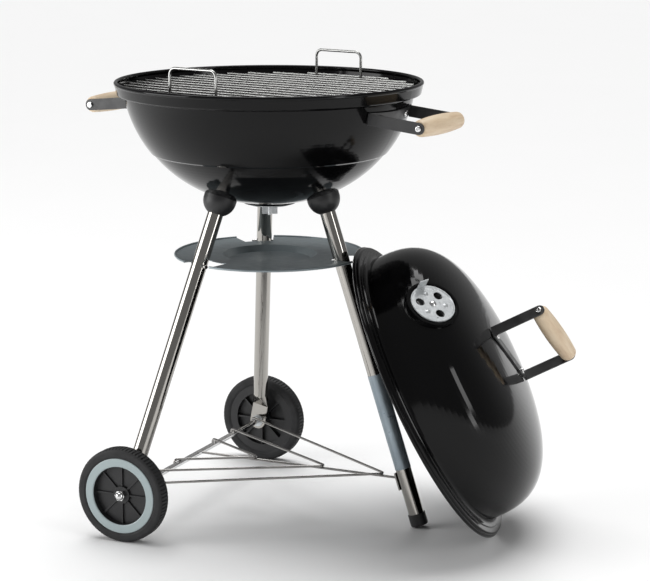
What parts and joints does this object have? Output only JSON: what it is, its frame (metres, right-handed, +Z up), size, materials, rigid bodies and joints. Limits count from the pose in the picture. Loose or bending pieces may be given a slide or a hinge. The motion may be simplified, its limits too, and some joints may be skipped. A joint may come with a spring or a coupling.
{
  "type": "kettle charcoal grill",
  "caption": "Black kettle charcoal grill with a domed lid, wooden handles, wire grates, ash tray, wire rack and splayed tube legs on wheels.",
  "frame": {"origin": "on the floor, under the middle of the object's box", "axes": "+Z up, +X towards the foot leg and the leaning lid, +Y along the axle"},
  "size_m": [0.7059, 0.4714, 0.6475],
  "materials": {
    "enamel": "glossy black porcelain enamel",
    "black_steel": "satin black powder coat",
    "grate_wire": "bright plated wire",
    "rack_wire": "bright plated wire",
    "leg_chrome": "polished chrome",
    "bright_steel": "bright plated",
    "zinc_steel": "zinc plated",
    "tray_steel": "satin grey paint",
    "beech": "sanded, clear sealed",
    "black_plastic": "fine grain",
    "tyre_rubber": "matt",
    "grey_plastic": "smooth",
    "foil": "satin foil"
  },
  "bodies": {
    "frame": {"bowl": "enamel", "bowl_damper_bolt": "zinc_steel", "bowl_damper_nut": "zinc_steel", "side_bracket_right": "black_steel", "side_bracket_left": "black_steel", "side_grip_right": "beech", "side_grip_left": "beech", "side_grip_screws": "bright_steel", "side_bracket_bolts": "bright_steel", "side_bracket_nuts": "zinc_steel", "socket_foot": "black_plastic", "socket_wheel_left": "black_plastic", "socket_wheel_right": "black_plastic", "leg_foot": "leg_chrome", "leg_wheel_left": "leg_chrome", "leg_wheel_right": "leg_chrome", "leg_plugs": "zinc_steel", "leg_bolts": "zinc_steel", "leg_washers": "zinc_steel", "foot_cap": "black_plastic", "leg_label": "foil", "tray_pins": "bright_steel", "axle": "bright_steel", "axle_washers": "zinc_steel", "cap_nuts": "bright_steel", "rack_wire_outer": "rack_wire", "rack_wire_middle": "rack_wire", "rack_wire_inner": "rack_wire", "rack_spine": "rack_wire", "rack_screw": "bright_steel"},
    "wheel_left_body": {"wheel_hub_left": "black_plastic", "tyre_left": "tyre_rubber", "wheel_ring_left": "grey_plastic"},
    "wheel_right_body": {"wheel_hub_right": "black_plastic", "tyre_right": "tyre_rubber", "wheel_ring_right": "grey_plastic"},
    "lid_body": {"lid": "enamel", "lid_damper_rivet": "bright_steel", "lid_bracket": "black_steel", "lid_grip": "beech", "lid_grip_screws": "bright_steel", "lid_bracket_bolts": "bright_steel", "lid_bracket_nuts": "zinc_steel"},
    "lid_damper_body": {"lid_damper": "zinc_steel"},
    "bowl_damper_body": {"bowl_damper": "zinc_steel"},
    "cooking_grate_body": {"cooking_grate": "grate_wire", "grate_handles": "grate_wire"},
    "charcoal_grate_body": {"charcoal_grate": "grate_wire"},
    "ash_tray_body": {"ash_tray": "tray_steel"}
  },
  "joints": [
    {"name": "wheel_left_spin", "type": "hinge", "parent": "frame", "child": "wheel_left_body", "pos_m": [-0.18985, 0.2195, 0.066], "axis": [0, 1, 0], "continuous": true},
    {"name": "wheel_right_spin", "type": "hinge", "parent": "frame", "child": "wheel_right_body", "pos_m": [-0.18985, -0.2195, 0.066], "axis": [0, 1, 0], "continuous": true},
    {"name": "lid_pull", "type": "slide", "parent": "frame", "child": "lid_body", "axis": [0.8599, 0.2304, 0.4555], "range_m": [0, 0.35]},
    {"name": "lid_damper_turn", "type": "hinge", "parent": "lid_body", "child": "lid_damper_body", "pos_m": [0.21648, -0.10531, 0.34485], "axis": [0.5018, -0.3945, 0.7698], "range_deg": [0, 60]},
    {"name": "bowl_damper_turn", "type": "hinge", "parent": "frame", "child": "bowl_damper_body", "pos_m": [-0.0709, 0, 0.446], "axis": [0, 0, -1], "range_deg": [0, 60]},
    {"name": "cooking_grate_lift", "type": "slide", "parent": "frame", "child": "cooking_grate_body", "axis": [0, 0, 1], "range_m": [0, 0.36]},
    {"name": "charcoal_grate_lift", "type": "slide", "parent": "frame", "child": "charcoal_grate_body", "axis": [0, 0, 1], "range_m": [0, 0.18]},
    {"name": "ash_tray_turn", "type": "hinge", "parent": "frame", "child": "ash_tray_body", "pos_m": [-0.0709, 0, 0.372], "axis": [0, 0, -1], "range_deg": [0, 10.5]}
  ],
  "couplings": [
    {"joint": "charcoal_grate_lift", "follows": "cooking_grate_lift", "ratio": 0.5}
  ]
}
